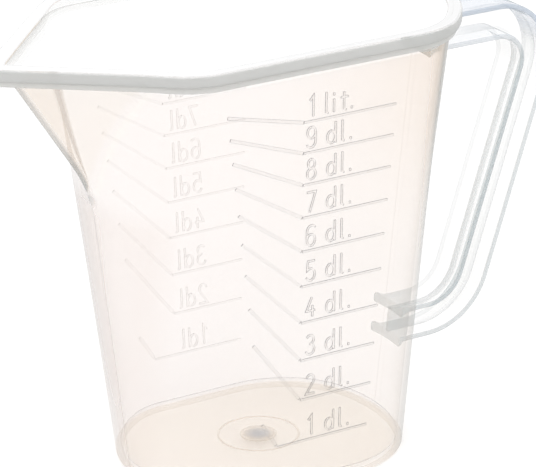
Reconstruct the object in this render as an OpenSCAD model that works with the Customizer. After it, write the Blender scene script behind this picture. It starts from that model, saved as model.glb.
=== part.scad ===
// One-litre measuring jug, moulded in one translucent shot and modelled as its separate regions.
// Origin: centre of the base on the table, +Z up, spout towards -X, handle towards +X.

/* [Cup] */
// Height of the rim above the table
cup_h = 152; // [140:1:160]
// Width of the base across the two scale faces
base_w = 81; // [76:0.5:86]
// Length of the base from the centre to the spout end
spout_half = 48.7; // [46:0.1:52]
// Length of the base from the centre to the handle end
handle_half = 47.8; // [45:0.1:51]
// Outward lean of the two scale faces in degrees
side_draft = 3; // [2.5:0.1:3.5]
// Outward lean of the spout end in degrees
spout_draft = 6; // [5:0.1:6.5]
// Outward lean of the handle end in degrees
handle_draft = 7; // [6:0.1:7.5]
// Thickness of the wall
wall_t = 2; // [1.6:0.1:2.4]
// Thickness of the floor
floor_t = 1.5; // [1.2:0.1:2]
// Height of the standing ring under the floor
foot_h = 1; // [0.8:0.1:1.5]
// Width of the standing ring
foot_w = 2.6; // [2.4:0.1:4]

/* [Corners] */
// Corner radius at the base, spout end
spout_corner_base = 24; // [22:0.5:26]
// Corner radius at the rim, spout end
spout_corner_top = 18; // [17:0.5:20]
// Radius of the bowed spout end at the base
spout_bow_base = 44; // [43:0.5:50]
// Radius of the bowed spout end at the rim
spout_bow_top = 76; // [74:1:90]
// Corner radius at the base, handle end
handle_corner_base = 34; // [30:0.5:36]
// Corner radius at the rim, handle end
handle_corner_top = 24; // [22:0.5:28]
// Radius of the bowed handle end
handle_bow = 59; // [56:0.5:70]

/* [Rim] */
// How far the rim stands out from the wall
rim_out = 2.8; // [2.2:0.1:3.2]
// Height of the rim's outer face
rim_h = 4.2; // [3.5:0.1:5]
// How far the shoulder under the rim stands out
shoulder_out = 1.4; // [1:0.1:1.8]
// Height of the shoulder under the rim
shoulder_h = 2; // [1.5:0.1:2.5]
// Radius of the rim at the pouring tip
tip_r = 6; // [4:0.5:8]
// Radius where the rim turns from the cup into the spout
blend_r = 18; // [12:1:24]

/* [Spout] */
// Depth below the rim at which the spout's keel leaves the wall
spout_depth = 52; // [44:1:60]
// Forward lean of the keel in degrees
keel_lean = 32; // [29:0.5:34]
// Half angle between the two spout faces in degrees
spout_half_angle = 46.5; // [44:0.5:50]
// Where the rim starts to dip towards the tip
dip_x = -54; // [-58:1:-48]
// Dip of the rim towards the tip in degrees
dip_angle = 4; // [3:0.5:5]

/* [Handle] */
// Depth of the inner strap's upper arm below the rim
handle_drop = 23.2; // [21:0.2:28]
// Height of the inner strap's lower arm
handle_bottom = 38; // [34:0.5:42]
// Where the upper arm starts to bend down
handle_reach = 91.7; // [88:0.1:94]
// Lean of the grip in degrees
grip_lean = 19; // [16:0.5:21]
// Inner strap's bend radius at the top
upper_bend = 9.2; // [8:0.2:11]
// Inner strap's bend radius at the bottom
lower_bend = 14; // [12:0.5:16]
// Distance between the two straps
strap_gap = 10.4; // [9:0.2:11.4]
// Width of the straps
strap_w = 15; // [13:0.5:17]
// Thickness of the straps
strap_t = 1.8; // [1.4:0.1:2.2]
// Thickness of the web between the straps
web_t = 1.8; // [1.4:0.1:2.2]

/* [Scale] */
// Volume between two marks in cubic millimetres
step_volume = 100000; // [95000:1000:105000]
// How far the marks stand out from the wall
mark_h = 0.35; // [0.2:0.05:0.5]
// Width of the level lines
level_line_w = 0.7; // [0.5:0.1:1]
// Width of the slanted pour lines
pour_line_w = 1.05; // [0.8:0.05:1.5]
// Where a level line meets its pour line
corner_x = -8.2; // [-12:0.1:-6]
// The same on the lowest mark
first_corner_x = -16.6; // [-20:0.1:-14]
// Height of the figures
figure_h = 7.1; // [6.5:0.1:8]
// Stroke width of the figures
figure_stroke = 0.65; // [0.5:0.05:0.8]

/* [Gate] */
// Outer radius of the thin ring round the gate
gate_ring_r = 13.9; // [12:0.1:16]
// Radius of the low boss at the gate
gate_boss_r = 6.2; // [5:0.1:7]

/* [Hidden] */

cup_tint = [0.97, 0.95, 0.92, 0.5];
rim_tint = [0.82, 0.82, 0.81, 0.8];
handle_tint = [0.88, 0.91, 0.95, 0.6];
mark_tint = [0.6, 0.6, 0.62];

bow_steps = 5;
corner_steps = 8;
floor_top = foot_h + floor_t;
mark_count = 10;
// height left above the rim plane, cut away afterwards
trim = 6;

// half sizes of the outside at a height
function half_w(z) = base_w / 2 + z * tan(side_draft);
function spout_end(z) = spout_half + z * tan(spout_draft);
function handle_end(z) = handle_half + z * tan(handle_draft);

// arc from angle a0 to a1 in the given number of steps
function arc(c, r, a0, a1, steps) =
    [for (i = [0 : steps]) c + r * [cos(a0 + (a1 - a0) * i / steps), sin(a0 + (a1 - a0) * i / steps)]];

// a quarter of the outline: bowed end from the X axis, then the corner up to the flat side,
// with both radii limited by the half width
function quarter(end, half, corner_r, bow_r) =
    let (r = min(corner_r, half), bow = max(bow_r, half))
    let (flat_x = end - bow + sqrt(pow(bow - r, 2) - pow(half - r, 2)))
    let (turn = atan2(half - r, flat_x - (end - bow)))
    concat(
        arc([end - bow, 0], bow, 0, turn, bow_steps),
        [for (i = [1 : corner_steps]) arc([flat_x, half - r], r, turn, 90, corner_steps)[i]]
    );

// the whole plan at the base or the rim, moved inwards by inset, anticlockwise from +X
function plan(z, inset) =
    let (half = half_w(z) - inset, is_base = z == 0)
    let (h = quarter(
        handle_end(z) - inset, half,
        (is_base ? handle_corner_base : handle_corner_top) - inset, handle_bow - inset
    ))
    let (s = quarter(
        spout_end(z) - inset, half,
        (is_base ? spout_corner_base : spout_corner_top) - inset,
        (is_base ? spout_bow_base : spout_bow_top) - inset
    ))
    let (last = len(h) - 1)
    concat(
        h,
        [for (i = [last : -1 : 0]) [-s[i][0], s[i][1]]],
        [for (i = [1 : last]) [-s[i][0], -s[i][1]]],
        [for (i = [last : -1 : 1]) [h[i][0], -h[i][1]]]
    );

// the outline at a height, on straight lines from the base to the rim
function outline(z, inset = 0) =
    let (base = plan(0, inset), top = plan(cup_h, inset))
    [for (i = [0 : len(base) - 1]) base[i] + (top[i] - base[i]) * z / cup_h];

// solid between two level outlines with the same number of points, both anticlockwise
module loft(low, high, z0, z1) {
    n = len(low);
    polyhedron(
        points = concat([for (p = low) [p[0], p[1], z0]], [for (p = high) [p[0], p[1], z1]]),
        faces = concat(
            [[for (i = [0 : n - 1]) i], [for (i = [n - 1 : -1 : 0]) n + i]],
            [for (i = [0 : n - 1]) [i, n + i, (i + 1) % n]],
            [for (i = [0 : n - 1]) [(i + 1) % n, n + i, n + (i + 1) % n]]
        )
    );
}

// the drafted solid of the cup, from the table to a little above the rim
module cup_solid(inset = 0) {
    loft(outline(0, inset), outline(cup_h + trim, inset), 0, cup_h + trim);
}

// capacity: area of the inside at a height, and the height that holds k marks
function sum(v, i = 0, total = 0) = i == len(v) ? total : sum(v, i + 1, total + v[i]);
function area(p) = sum([for (i = [0 : len(p) - 1]) cross(p[i], p[(i + 1) % len(p)])]) / 2;
fill_step = 4;
fill_heights = [for (z = [floor_top : fill_step : cup_h]) z];
fill_areas = [for (z = fill_heights) area(outline(z, wall_t))];
fill_table = [
    for (i = 0, v = 0; i < len(fill_heights);
        v = v + fill_step * (fill_areas[i] + (i + 1 < len(fill_areas) ? fill_areas[i + 1] : 0)) / 2,
        i = i + 1) [v, fill_heights[i]]
];
function level(k) = lookup(k * step_volume, fill_table);

// keel of the spout: its x at a height, moved inwards by inset
apex_z = cup_h - spout_depth;
keel_slope = tan(keel_lean);
face_stretch = sqrt(1 + pow(sin(spout_half_angle) * keel_slope, 2));
function keel_x(z, inset = 0) =
    -spout_end(apex_z) - (z - apex_z) * keel_slope + inset * face_stretch / sin(spout_half_angle);

// plan of the wedge between the two spout faces at a height, reaching just inside the cup
spout_root_share = 3.8;
spout_root = wall_t * spout_root_share;
function wedge_plan(z, inset = 0) =
    let (x_in = -spout_end(apex_z) + spout_root)
    let (half = (x_in - keel_x(z, inset)) * tan(spout_half_angle))
    [[keel_x(z, inset), 0], [x_in, -half], [x_in, half]];

module spout_wedge(inset = 0) {
    z0 = apex_z - spout_root / 4;
    z1 = cup_h + trim;
    loft(wedge_plan(z0, inset), wedge_plan(z1, inset), z0, z1);
}

// level slab between two heights
reach = cup_h;
module slab(z0, z1) {
    translate([-reach, -reach, z0]) cube([2 * reach, 2 * reach, z1 - z0]);
}

// the space between two depths below the rim, which dips towards the pouring tip
module below_rim(top, bottom) {
    dip = (reach + dip_x) * tan(dip_angle);
    rotate([90, 0, 0])
        linear_extrude(height = 2 * reach, center = true)
            polygon([
                [reach, cup_h - top], [dip_x, cup_h - top], [-reach, cup_h - top - dip],
                [-reach, cup_h - bottom - dip], [dip_x, cup_h - bottom], [reach, cup_h - bottom]
            ]);
}

// plan of the rim's outer edge, a distance out from the cup and spout
rim_fn = 64;
module rim_plan(out) {
    offset(r = tip_r, $fn = rim_fn)
        offset(r = -tip_r - blend_r, $fn = rim_fn)
            offset(r = blend_r + out, $fn = rim_fn) {
                polygon(outline(cup_h));
                polygon(wedge_plan(cup_h));
            }
}

// band of the rim between two depths, outside the cup and spout
module rim_band(out, top, bottom) {
    difference() {
        intersection() {
            translate([0, 0, cup_h - bottom - 2 * trim])
                linear_extrude(height = bottom + 3 * trim) rim_plan(out);
            below_rim(top, bottom);
        }
        cup_solid();
        spout_wedge();
    }
}

module cup_wall() {
    color(cup_tint)
        intersection() {
            difference() {
                cup_solid();
                cup_solid(wall_t);
                spout_wedge(wall_t);
            }
            below_rim(0, cup_h - foot_h);
        }
}

module floor_panel() {
    color(cup_tint)
        intersection() {
            cup_solid(wall_t);
            slab(foot_h, floor_top);
        }
}

module foot_ring() {
    color(cup_tint)
        intersection() {
            difference() {
                cup_solid();
                cup_solid(foot_w);
            }
            slab(0, foot_h);
        }
}

gate_rise = 0.4;
gate_line_w = 0.6;
module gate_boss() {
    color(cup_tint) translate([0, 0, floor_top]) cylinder(h = gate_rise, r = gate_boss_r, $fn = 48);
}

module gate_ring() {
    color(cup_tint)
        translate([0, 0, floor_top])
            difference() {
                cylinder(h = gate_rise, r = gate_ring_r, $fn = 64);
                translate([0, 0, -gate_rise])
                    cylinder(h = 3 * gate_rise, r = gate_ring_r - gate_line_w, $fn = 64);
            }
}

module pouring_spout() {
    color(cup_tint)
        intersection() {
            difference() {
                spout_wedge();
                spout_wedge(wall_t);
                cup_solid();
            }
            below_rim(0, cup_h);
        }
}

module rim_flange() {
    color(rim_tint) rim_band(rim_out, 0, rim_h);
}

module rim_shoulder() {
    color(rim_tint) rim_band(shoulder_out, rim_h, rim_h + shoulder_h);
}

// a flat band of constant width along a line of points
function unit(v) = v / norm(v);
function left_of(p, i) =
    let (last = len(p) - 1)
    let (a = unit(p[max(i, 1)] - p[max(i, 1) - 1]), b = unit(p[min(i + 1, last)] - p[min(i, last - 1)]))
    let (m = unit(a + b))
    [-m[1], m[0]] / (m * a);
function band(p, w) = concat(
    [for (i = [0 : len(p) - 1]) p[i] + left_of(p, i) * w / 2],
    [for (i = [len(p) - 1 : -1 : 0]) p[i] - left_of(p, i) * w / 2]
);

// the handle's line in the XZ plane, a distance out from the inner strap
bend_steps = 12;
handle_top = cup_h - handle_drop;
upper_centre = [handle_reach, handle_top - upper_bend];
grip_run = (upper_centre[1] + (lower_bend - upper_bend) * sin(grip_lean) - handle_bottom - lower_bend)
    / cos(grip_lean);
lower_centre = upper_centre
    - (lower_bend - upper_bend) * [cos(grip_lean), -sin(grip_lean)]
    - grip_run * [sin(grip_lean), cos(grip_lean)];
root_share = 0.75;
root_x = handle_half * root_share;
function handle_line(out) = concat(
    [[root_x, handle_top + out]],
    arc(upper_centre, upper_bend + out, 90, -grip_lean, bend_steps),
    arc(lower_centre, lower_bend + out, -grip_lean, -90, bend_steps),
    [[root_x, handle_bottom - out]]
);

module handle_part(out, thick, wide) {
    color(handle_tint)
        difference() {
            rotate([90, 0, 0])
                linear_extrude(height = wide, center = true) polygon(band(handle_line(out), thick));
            cup_solid();
        }
}

module handle_inner_strap() {
    handle_part(0, strap_t, strap_w);
}

module handle_outer_strap() {
    handle_part(strap_gap, strap_t, strap_w);
}

module handle_web() {
    handle_part(strap_gap / 2, strap_gap - strap_t, web_t);
}

// puts a flat drawing on a scale face: x along the face from its reader's left, y up its slope
module on_face(back) {
    rotate([0, 0, back ? 180 : 0])
        translate([0, -base_w / 2, 0])
            rotate([90 + side_draft, 0, 0])
                children();
}
function up_face(z) = z / cos(side_draft);

// the marks whose figures fit under the rim
figure_rise = 1.55;
mark_limit = cup_h - rim_h - shoulder_h - figure_rise - figure_h;
marks = [for (k = [1 : mark_count]) if (level(k) < mark_limit) k];

// ends of the marks: the level lines grow towards the rim, and the pour lines aim at the spout's lip
level_end_base = 15.8;
level_end_slope = 0.075;
pour_end_base = -18.8;
pour_end_slope = -0.122;
lip_out = 4.3;
lip_drop = 1.5;
lip = [keel_x(cup_h) - lip_out, cup_h - lip_drop];
function mark_corner(k) = [k == 1 ? first_corner_x : corner_x, level(k)];
function level_end(k) = [level_end_base + level_end_slope * level(k), level(k)];
function pour_end(k) =
    let (c = mark_corner(k), d = lip - c)
    c + d * (pour_end_base + pour_end_slope * c[1] - c[0]) / (d[0] - pour_end_slope * d[1]);
function drawn(p, back) = [back ? -p[0] : p[0], up_face(p[1])];

// the lines run onto the round corners, so they follow the wall as a raised skin
skin_depth = 4;
module raised_skin(back) {
    color(mark_tint)
        difference() {
            intersection() {
                cup_solid(-mark_h);
                on_face(back)
                    translate([0, 0, -skin_depth])
                        linear_extrude(height = 2 * skin_depth)
                            children();
            }
            cup_solid();
        }
}

module level_lines(back) {
    raised_skin(back)
        for (k = marks)
            polygon(band([drawn(mark_corner(k), back), drawn(level_end(k), back)], level_line_w));
}

module pour_lines(back) {
    raised_skin(back)
        for (k = marks) {
            c = mark_corner(k);
            way = unit(pour_end(k) - c);
            away = way * abs(way[1] / way[0]) * pour_line_w / 2;
            polygon(band([drawn(c + away, back), drawn(pour_end(k), back)], pour_line_w));
        }
}

// figures drawn as single strokes, in shares of a cell one figure wide and one figure high
round_steps = 7;
figure_w = 3.4;
function oval(cx, cy, rx, ry, a0, a1) = [
    for (i = [0 : round_steps])
        let (a = a0 + (a1 - a0) * i / round_steps)
            [cx + rx * cos(a), cy + ry * sin(a)]
];
// a closed oval is two halves that meet end to end
function loop(cx, cy, rx, ry) = [oval(cx, cy, rx, ry, 90, 270), oval(cx, cy, rx, ry, -90, 90)];
glyph_shares = [
    ["1", [[[0.3, 0.74], [0.68, 0.96], [0.68, 0]]]],
    ["2", [concat(oval(0.5, 0.72, 0.42, 0.24, 165, -25), [[0.06, 0], [0.98, 0]])]],
    ["3", [
        concat(oval(0.45, 0.74, 0.42, 0.22, 150, -70), [[0.4, 0.52]]),
        concat([[0.4, 0.52]], oval(0.45, 0.26, 0.48, 0.26, 75, -160))
    ]],
    ["4", [[[0.62, 0.96], [0.04, 0.3], [0.98, 0.3]], [[0.7, 0.55], [0.7, 0]]]],
    ["5", [concat([[0.92, 0.96], [0.18, 0.96], [0.12, 0.52]], oval(0.46, 0.3, 0.48, 0.3, 110, -155))]],
    ["6", concat(loop(0.5, 0.28, 0.44, 0.28), [concat(oval(0.56, 0.7, 0.5, 0.28, 40, 180), [[0.06, 0.28]])])],
    ["7", [[[0.04, 0.96], [0.96, 0.96], [0.34, 0]]]],
    ["8", concat(loop(0.5, 0.74, 0.36, 0.22), loop(0.5, 0.26, 0.45, 0.26))],
    ["9", concat(loop(0.5, 0.7, 0.44, 0.27), [concat([[0.94, 0.7]], oval(0.44, 0.28, 0.5, 0.28, 0, -150))])],
    ["d", concat(loop(0.46, 0.3, 0.42, 0.3), [[[0.92, 1], [0.92, 0]]])],
    ["l", [[[0.2, 1], [0.2, 0.06], [0.42, 0]]]],
    ["i", [[[0.2, 0.62], [0.2, 0]], [[0.2, 0.9], [0.2, 0.78]]]],
    ["t", [[[0.4, 0.86], [0.4, 0.06], [0.66, 0]], [[0.05, 0.62], [0.85, 0.62]]]],
    [".", [[[0.1, 0.12], [0.1, 0]]]]
];
module glyph(c) {
    for (g = glyph_shares)
        if (g[0] == c)
            for (p = g[1])
                polygon(band([for (q = p) [q[0] * figure_w, q[1] * figure_h]], figure_stroke));
}

// one line of figures: each glyph with its place along the line, in shares of the figure's width
front_digit_shares = [["d", 2.15], ["l", 3.6], [".", 4.6]];
front_litre_shares = [["l", 1.85], ["i", 2.68], ["t", 3.55], [".", 4.7]];
back_digit_shares = [["d", 1.42], ["l", 2.8]];
back_litre_shares = [["l", 1.3], ["i", 2.1], ["t", 2.95]];
function figures(k, back) = concat(
    [[k == mark_count ? "1" : str(k), 0]],
    k == mark_count ? (back ? back_litre_shares : front_litre_shares)
        : (back ? back_digit_shares : front_digit_shares)
);

// the column of figures leans a little against the marks
front_start = -5.9;
back_start = -5;
start_slope = -0.0105;
module numerals(back) {
    color(mark_tint)
        on_face(back)
            linear_extrude(height = mark_h)
                for (k = marks)
                    for (f = figures(k, back))
                        translate([
                            f[1] * figure_w + (back ? back_start : front_start + start_slope * level(k)),
                            up_face(level(k) + figure_rise)
                        ])
                            glyph(f[0]);
}

cup_wall();
floor_panel();
foot_ring();
gate_boss();
gate_ring();
pouring_spout();
rim_flange();
rim_shoulder();
handle_outer_strap();
handle_inner_strap();
handle_web();
level_lines(false);  // front_level_lines
pour_lines(false);  // front_pour_lines
numerals(false);  // front_numerals
level_lines(true);  // back_level_lines
pour_lines(true);  // back_pour_lines
numerals(true);  // back_numerals
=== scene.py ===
import math

import bmesh
import bpy
import numpy as np
from mathutils import Matrix, Vector
from mathutils.kdtree import KDTree


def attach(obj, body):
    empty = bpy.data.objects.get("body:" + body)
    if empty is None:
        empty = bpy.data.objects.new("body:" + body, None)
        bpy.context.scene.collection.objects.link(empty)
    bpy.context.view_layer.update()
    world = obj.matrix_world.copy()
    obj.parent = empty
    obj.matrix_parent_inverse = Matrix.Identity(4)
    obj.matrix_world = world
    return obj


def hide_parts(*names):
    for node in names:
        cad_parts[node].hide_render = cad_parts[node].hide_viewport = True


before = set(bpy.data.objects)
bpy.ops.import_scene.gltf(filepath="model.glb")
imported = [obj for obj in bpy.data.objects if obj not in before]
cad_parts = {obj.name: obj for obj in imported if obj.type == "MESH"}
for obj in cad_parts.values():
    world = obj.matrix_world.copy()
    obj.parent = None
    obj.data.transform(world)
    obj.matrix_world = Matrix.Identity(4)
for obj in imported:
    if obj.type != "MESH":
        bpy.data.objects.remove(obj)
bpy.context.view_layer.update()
mm = 0.001
mergeDistance = 0.002 * mm

# the cup: sizes in millimetres, leans in degrees
cup = {
    "height": 152.0,
    "halfWidth": 40.5,
    "spoutEnd": 48.7,
    "handleEnd": 47.8,
    "sideLean": 3.0,
    "spoutLean": 6.0,
    "handleLean": 7.0,
    "wall": 2.0,
    "foot": 1.0,
    "floor": 2.5,
    "spoutCorner": (24.0, 18.0),
    "spoutBow": (44.0, 76.0),
    "handleCorner": (34.0, 24.0),
    "handleBow": 59.0,
    "rayCentre": -8.0,
    "backOff": 0.03,  # keeps the wall just behind the raised marks
    "rows": 96,
    "bowSteps": 40,
    "cornerSteps": 60,
    "flatSteps": 60,
}

# the pouring spout; its rim dips towards the tip, and it ends where it runs into the wall
spout = {
    "apex": 100.0,
    "keelLean": 32.0,
    "halfAngle": 46.5,
    "keelRound": 2.6,
    "keelRoundShare": 0.4,
    "keelRoundRun": 20.0,
    "widestTurn": 2.6,  # radians, past which the face has run out
    "filletLow": 5.0,
    "filletHigh": 0.6,
    "dipStart": -54.0,
    "dipAngle": 4.0,
    "dipRound": 6.0,
    "rootX": -51.6,
    "rootFade": 2.0,
}


def slope(angle):
    return math.tan(math.radians(angle))


def clamped(value):
    return min(max(value, 0.0), 1.0)


def bell(distance, width):
    return math.exp(-(distance / width) ** 2)


def arcPoints(centre, radius, start, end, steps):
    turns = np.linspace(start, end, steps + 1)
    return [(centre[0] + radius * math.cos(a), centre[1] + radius * math.sin(a)) for a in turns]


def quarterOutline(end, half, corner, bow):
    # from the middle of an end, along its bow and round the corner to the long face
    flat = end - bow + math.sqrt((bow - corner) ** 2 - (half - corner) ** 2)
    turn = math.atan2(half - corner, flat - (end - bow))
    bowed = arcPoints((end - bow, 0), bow, 0, turn, cup["bowSteps"])
    rounded = arcPoints((flat, half - corner), corner, turn, math.pi / 2, cup["cornerSteps"])
    return bowed + rounded[1:]


def halfPlan(level, share):
    # half of the plan, from the spout to the handle; share is 0 at the base and 1 at the rim
    half = cup["halfWidth"] + level * slope(cup["sideLean"])
    handleSide = quarterOutline(
        cup["handleEnd"] + level * slope(cup["handleLean"]), half,
        cup["handleCorner"][share], cup["handleBow"])
    spoutSide = quarterOutline(
        cup["spoutEnd"] + level * slope(cup["spoutLean"]), half,
        cup["spoutCorner"][share], cup["spoutBow"][share])
    flatRun = np.linspace(-spoutSide[-1][0], handleSide[-1][0], cup["flatSteps"])[1:-1]
    return np.array([(-x, y) for x, y in spoutSide] + [(x, half) for x in flatRun] + handleSide[::-1])


basePlan = halfPlan(0.0, 0)
rimPlan = halfPlan(cup["height"], 1)


def cupRadius(turn, level):
    # distance from the ray centre to the cup's outside; turn is 0 towards the spout
    plan = basePlan + (rimPlan - basePlan) * (level / cup["height"])
    x = plan[:, 0] - cup["rayCentre"]
    return float(np.interp(turn, np.arctan2(plan[:, 1], -x), np.hypot(x, plan[:, 1]))) - cup["backOff"]


def spoutRadius(turn, level):
    # the same distance for the spout's two flat faces, which meet in a rounded keel
    start = cup["spoutEnd"] + spout["apex"] * slope(cup["spoutLean"])
    run = cup["rayCentre"] + start + (level - spout["apex"]) * slope(spout["keelLean"])
    half = math.radians(spout["halfAngle"])
    soft = math.hypot(turn, spout["keelRound"] * spout["keelRoundShare"] / max(run, spout["keelRoundRun"]))
    radius = run * math.sin(half) / math.sin(half + soft) if half + soft < spout["widestTurn"] else 0.0
    short = cup["rayCentre"] - radius * math.cos(turn) - spout["rootX"]
    return radius - spout["rootFade"] * max(short, 0.0)


def outside(turn, level):
    # x, y of the outside at a turn and height, and how much further out the cup is than the spout
    a = cupRadius(turn, level)
    b = spoutRadius(turn, level)
    rise = clamped((level - spout["apex"]) / (cup["height"] - spout["apex"]))
    fillet = spout["filletLow"] + (spout["filletHigh"] - spout["filletLow"]) * rise ** 2
    near = max(fillet - abs(a - b), 0.0) / fillet
    radius = max(a, b) + near * near * fillet / 4
    return cup["rayCentre"] - radius * math.cos(turn), radius * math.sin(turn), a - b


def rimTop(x):
    # height of the rim's top, which dips softly towards the tip
    past = spout["dipStart"] - x
    return cup["height"] - 0.5 * (past + math.hypot(past, spout["dipRound"])) * slope(spout["dipAngle"])


# columns run once round the cup, placed in radians: finest at the keel, fine across the spout
columnSizes = {
    "keelEnd": 0.05, "keelStep": 0.004, "spoutEnd": 0.95, "spoutStep": 0.0115,
    "wallEnd": 3.11, "wallCount": 78, "lastTurns": (3.1293, 3.1355, math.pi),
}
halfTurns = np.concatenate([
    np.arange(0, columnSizes["keelEnd"], columnSizes["keelStep"]),
    np.arange(columnSizes["keelEnd"], columnSizes["spoutEnd"], columnSizes["spoutStep"]),
    np.linspace(columnSizes["spoutEnd"], columnSizes["wallEnd"], columnSizes["wallCount"]),
    columnSizes["lastTurns"]])
columnTurns = [(t, 1) for t in halfTurns] + [(t, -1) for t in halfTurns[-2:0:-1]]
columns = len(columnTurns)


def columnTop(turn):
    # the rim's height depends on x and x on the height, so it is worked out until it settles
    top = cup["height"]
    for _ in range(4):
        top = rimTop(outside(turn, top)[0])
    return top


tops = np.array([columnTop(t) for t, _ in columnTurns])


def outerRows(rows, bottom):
    # a table of points on the outside, from the bottom row to the rim
    table = np.zeros((rows + 1, columns, 3))
    crease = np.zeros((rows + 1, columns))
    for j in range(rows + 1):
        for i, (turn, side) in enumerate(columnTurns):
            level = bottom + (tops[i] - bottom) * j / rows
            if side < 0:
                mirror = 2 * len(halfTurns) - 2 - i
                x, y, z = table[j, mirror]
                table[j, i] = (x, -y, z)
                crease[j, i] = crease[j, mirror]
                continue
            x, y, ahead = outside(turn, level)
            table[j, i] = (x, y, level)
            crease[j, i] = ahead
    return table, crease


outer, crease = outerRows(cup["rows"], cup["foot"])
around = np.roll(outer, -1, axis=1) - np.roll(outer, 1, axis=1)
upwards = np.gradient(outer, axis=0)
facing = np.cross(upwards, around)
facing /= np.linalg.norm(facing, axis=2, keepdims=True)
if facing[0, columns // 2, 0] < 0:
    facing = -facing
flatLength = np.linalg.norm(facing[:, :, :2], axis=2)
outward = np.zeros_like(outer)
outward[:, :, :2] = facing[:, :, :2] / flatLength[:, :, None]
print("outline: %d columns, %d rows" % (columns, cup["rows"]))

# inside the keel the wall folds over where a column next to it, out past farX, is closer to the middle
# than half; some columns are added to the folded ones
keelFold = {"columns": 40, "half": 0.4, "farX": -50.0, "added": 3}


def insetRow(j, depth, share=1.0, drop=0.0):
    # a row moved into the wall, measured square to the wall
    row = outer[j] - outward[j] * (depth * share / flatLength[j])[:, None]
    # the two faces meet in a soft curve instead of folding over
    folded = [i for i in range(1, keelFold["columns"])
              if row[i, 1] < keelFold["half"] and outer[j, i, 0] < keelFold["farX"]]
    if folded:
        last = folded[-1] + keelFold["added"]
        edge = row[last].copy()
        lean = (row[last + 2, 0] - edge[0]) / (row[last + 2, 1] - edge[1])
        for i in range(last):
            part = i / last
            x = edge[0] - lean * edge[1] / 2 * (1 - part * part)
            row[i, :2] = (x, edge[1] * part)
            row[-i, :2] = (x, -edge[1] * part)
    row[:, 2] -= drop
    return row


def ringAt(levels):
    # points on the outside, one in each column, at one height or at a height for each
    row = np.zeros((columns, 3))
    for i, level in enumerate(np.broadcast_to(levels, columns)):
        turn, side = columnTurns[i]
        x, y, _ = outside(turn, level)
        row[i] = (x, side * y, level)
    return row


def ringNormals(row):
    # level directions that point out of a ring of points
    step = np.roll(row, -1, axis=0) - np.roll(row, 1, axis=0)
    normal = np.stack([-step[:, 1], step[:, 0], np.zeros(columns)], axis=1)
    normal /= np.linalg.norm(normal, axis=1, keepdims=True)
    return normal if normal[columns // 2, 0] > 0 else -normal


def levelRow(level, inset):
    # a level row round the cup below the spout, moved inwards
    row = ringAt(level)
    return row - ringNormals(row) * inset


def gridPiece(across, along, place, closeAcross=True, closeAlong=False, paint=None):
    # a bmesh grid whose points are moved to place(i, j), with its seams merged;
    # paint(i, j) gives the values that the material reads there
    bm = bmesh.new()
    bmesh.ops.create_grid(bm, x_segments=across, y_segments=along, size=1.0)
    layers = {key: bm.verts.layers.float.new(key) for key in (paint(0, 0) if paint else {})}
    for v in bm.verts:
        i = round((v.co.x + 1) / 2 * across)
        j = round((v.co.y + 1) / 2 * along)
        i, j = i % across if closeAcross else i, j % along if closeAlong else j
        v.co = Vector(place(i, j)) * mm
        for key, value in (paint(i, j) if paint else {}).items():
            v[layers[key]] = value
    bmesh.ops.remove_doubles(bm, verts=bm.verts, dist=mergeDistance)
    return bm


def finishPiece(name, bm, finish, replaced, sharp=38):
    # smooth apart from edges sharper than so many degrees, on the body, in place of its CAD nodes
    bmesh.ops.recalc_face_normals(bm, faces=bm.faces)
    for f in bm.faces:
        f.smooth = True
    for e in bm.edges:
        if len(e.link_faces) == 2 and e.calc_face_angle(0) > math.radians(sharp):
            e.smooth = False
    mesh = bpy.data.meshes.new(name)
    bm.to_mesh(mesh)
    bm.free()
    piece = bpy.data.objects.new(name, mesh)
    bpy.context.scene.collection.objects.link(piece)
    mesh.materials.append(finish)
    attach(piece, "root")
    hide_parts(*replaced)
    print("piece %s: %d faces" % (name, len(mesh.polygons)))
    return piece


flowSizes = {"detail": 3.0, "fineScale": 900.0, "fineRough": 0.06}


def glossGroup():
    # small moulding unevenness: a soft colour variation, roughness and a height
    group = bpy.data.node_groups.new("mouldedFlow", "ShaderNodeTree")
    face = group.interface
    for name, kind in (("Tint", "NodeSocketColor"), ("Second Tint", "NodeSocketColor"),
                       ("Flow Scale", "NodeSocketFloat"), ("Roughness", "NodeSocketFloat")):
        face.new_socket(name=name, in_out="INPUT", socket_type=kind)
    for name, kind in (("Colour", "NodeSocketColor"), ("Roughness", "NodeSocketFloat"),
                       ("Height", "NodeSocketFloat")):
        face.new_socket(name=name, in_out="OUTPUT", socket_type=kind)
    nodes, links = group.nodes, group.links
    given, result = nodes.new("NodeGroupInput"), nodes.new("NodeGroupOutput")
    place = nodes.new("ShaderNodeTexCoord")
    noise = nodes.new("ShaderNodeTexNoise")
    noise.inputs["Detail"].default_value = flowSizes["detail"]
    links.new(place.outputs["Object"], noise.inputs["Vector"])
    links.new(given.outputs["Flow Scale"], noise.inputs["Scale"])
    mix = nodes.new("ShaderNodeMix")
    mix.data_type = "RGBA"
    links.new(noise.outputs["Fac"], mix.inputs["Factor"])
    links.new(given.outputs["Tint"], mix.inputs["A"])
    links.new(given.outputs["Second Tint"], mix.inputs["B"])
    links.new(mix.outputs["Result"], result.inputs["Colour"])
    fine = nodes.new("ShaderNodeTexNoise")
    fine.inputs["Scale"].default_value = flowSizes["fineScale"]
    links.new(place.outputs["Object"], fine.inputs["Vector"])
    rough = nodes.new("ShaderNodeMath")
    rough.operation = "MULTIPLY_ADD"
    rough.inputs[1].default_value = flowSizes["fineRough"]
    links.new(fine.outputs["Fac"], rough.inputs[0])
    links.new(given.outputs["Roughness"], rough.inputs[2])
    links.new(rough.outputs[0], result.inputs["Roughness"])
    links.new(noise.outputs["Fac"], result.inputs["Height"])
    return group


mouldedFlow = glossGroup()

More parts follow.
